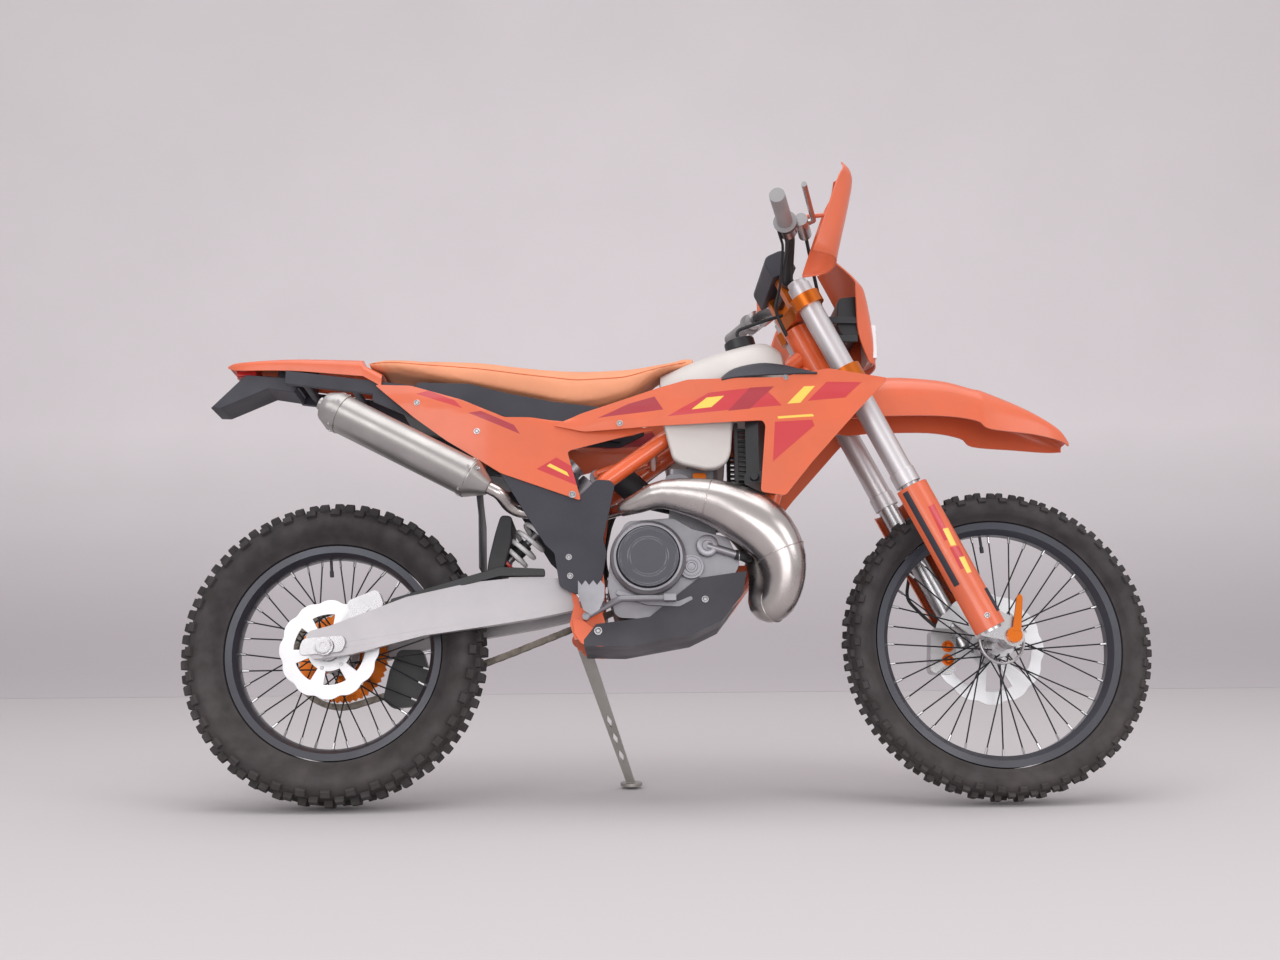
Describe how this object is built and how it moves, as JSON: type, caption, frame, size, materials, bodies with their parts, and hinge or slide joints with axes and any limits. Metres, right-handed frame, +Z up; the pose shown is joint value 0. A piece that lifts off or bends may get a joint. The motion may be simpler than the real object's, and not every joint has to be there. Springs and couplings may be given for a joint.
{
  "type": "enduro dirt bike",
  "caption": "Full-size enduro motorcycle with long-travel fork, knobbly tyres, open two-stroke engine and side stand, leaning as parked.",
  "frame": {"origin": "middle of the parked bike's bounding box, on the ground", "axes": "+X forward, +Y to the bike's left, +Z up"},
  "size_m": [2.1812, 0.8344, 1.3939],
  "materials": {
    "alloy": "cast and machined alloy",
    "anodised": "orange anodised",
    "chamber_steel": "bright nickel plate",
    "dark_plastic": "matt moulded plastic",
    "engine_alloy": "cast alloy, grey coat",
    "frame_paint": "powder coat",
    "lens": "clear lens",
    "orange_plastic": "gloss moulded plastic",
    "red_lens": "red lens",
    "rubber": "rubber",
    "seat_cover": "grained seat cover",
    "steel": "steel",
    "tank_plastic": "translucent tank plastic",
    "tyre_rubber": "knobbly tyre rubber"
  },
  "bodies": {
    "frame": {"main_frame": "frame_paint", "subframe": "dark_plastic", "swingarm": "alloy", "rear_axle": "steel", "shock_absorber": "alloy", "shock_spring": "steel", "engine_cases": "engine_alloy", "engine_covers": "engine_alloy", "cylinder": "engine_alloy", "intake": "rubber", "expansion_chamber": "chamber_steel", "silencer": "alloy", "fuel_tank": "tank_plastic", "tank_cap": "dark_plastic", "breather_hose": "rubber", "radiators": "alloy", "shrouds": "orange_plastic", "side_panels": "orange_plastic", "seat": "seat_cover", "air_box": "dark_plastic", "rear_fender": "orange_plastic", "plate_holder": "dark_plastic", "tail_light": "red_lens", "mud_flap": "dark_plastic", "skid_plate": "dark_plastic", "frame_guards": "dark_plastic", "foot_controls": "alloy", "drive_chain": "steel", "front_sprocket": "steel", "chain_guide": "dark_plastic", "rear_caliper": "alloy"},
    "steering": {"triple_clamps": "anodised", "fork_tubes": "alloy", "fork_legs": "alloy", "fork_guards": "orange_plastic", "front_axle": "steel", "handlebar": "dark_plastic", "grips": "rubber", "hand_controls": "alloy", "hand_guards": "orange_plastic", "bar_pad": "rubber", "headlight_mask": "orange_plastic", "headlight_lens": "lens", "front_fender": "orange_plastic", "front_caliper": "alloy", "brake_hose": "rubber", "throttle_cables": "rubber"},
    "front_wheel": {"front_tyre": "tyre_rubber", "front_rim": "dark_plastic", "front_spokes": "steel", "front_hub": "alloy", "front_disc": "steel"},
    "rear_wheel": {"rear_tyre": "tyre_rubber", "rear_rim": "dark_plastic", "rear_spokes": "steel", "rear_hub": "alloy", "rear_disc": "steel", "rear_sprocket": "anodised"},
    "side_stand": {"side_stand": "alloy"}
  },
  "joints": [
    {"name": "steering_turn", "type": "hinge", "parent": "frame", "child": "steering", "pos_m": [0.39782, -0.06098, 0.90579], "axis": [-0.4399, 0.172, 0.8814], "range_deg": [-43.3, 36.7]},
    {"name": "front_wheel_spin", "type": "hinge", "parent": "steering", "child": "front_wheel", "pos_m": [0.73929, -0.16646, 0.348], "axis": [-0.0517, 0.975, -0.216], "continuous": true},
    {"name": "rear_wheel_spin", "type": "hinge", "parent": "frame", "child": "rear_wheel", "pos_m": [-0.74863, -0.1714, 0.33984], "axis": [0, 0.9815, -0.1915], "continuous": true},
    {"name": "stand_fold", "type": "hinge", "parent": "frame", "child": "side_stand", "pos_m": [-0.20263, -0.04186, 0.36143], "axis": [0.15, 0.9604, 0.2347], "range_deg": [0, 112.9]}
  ]
}
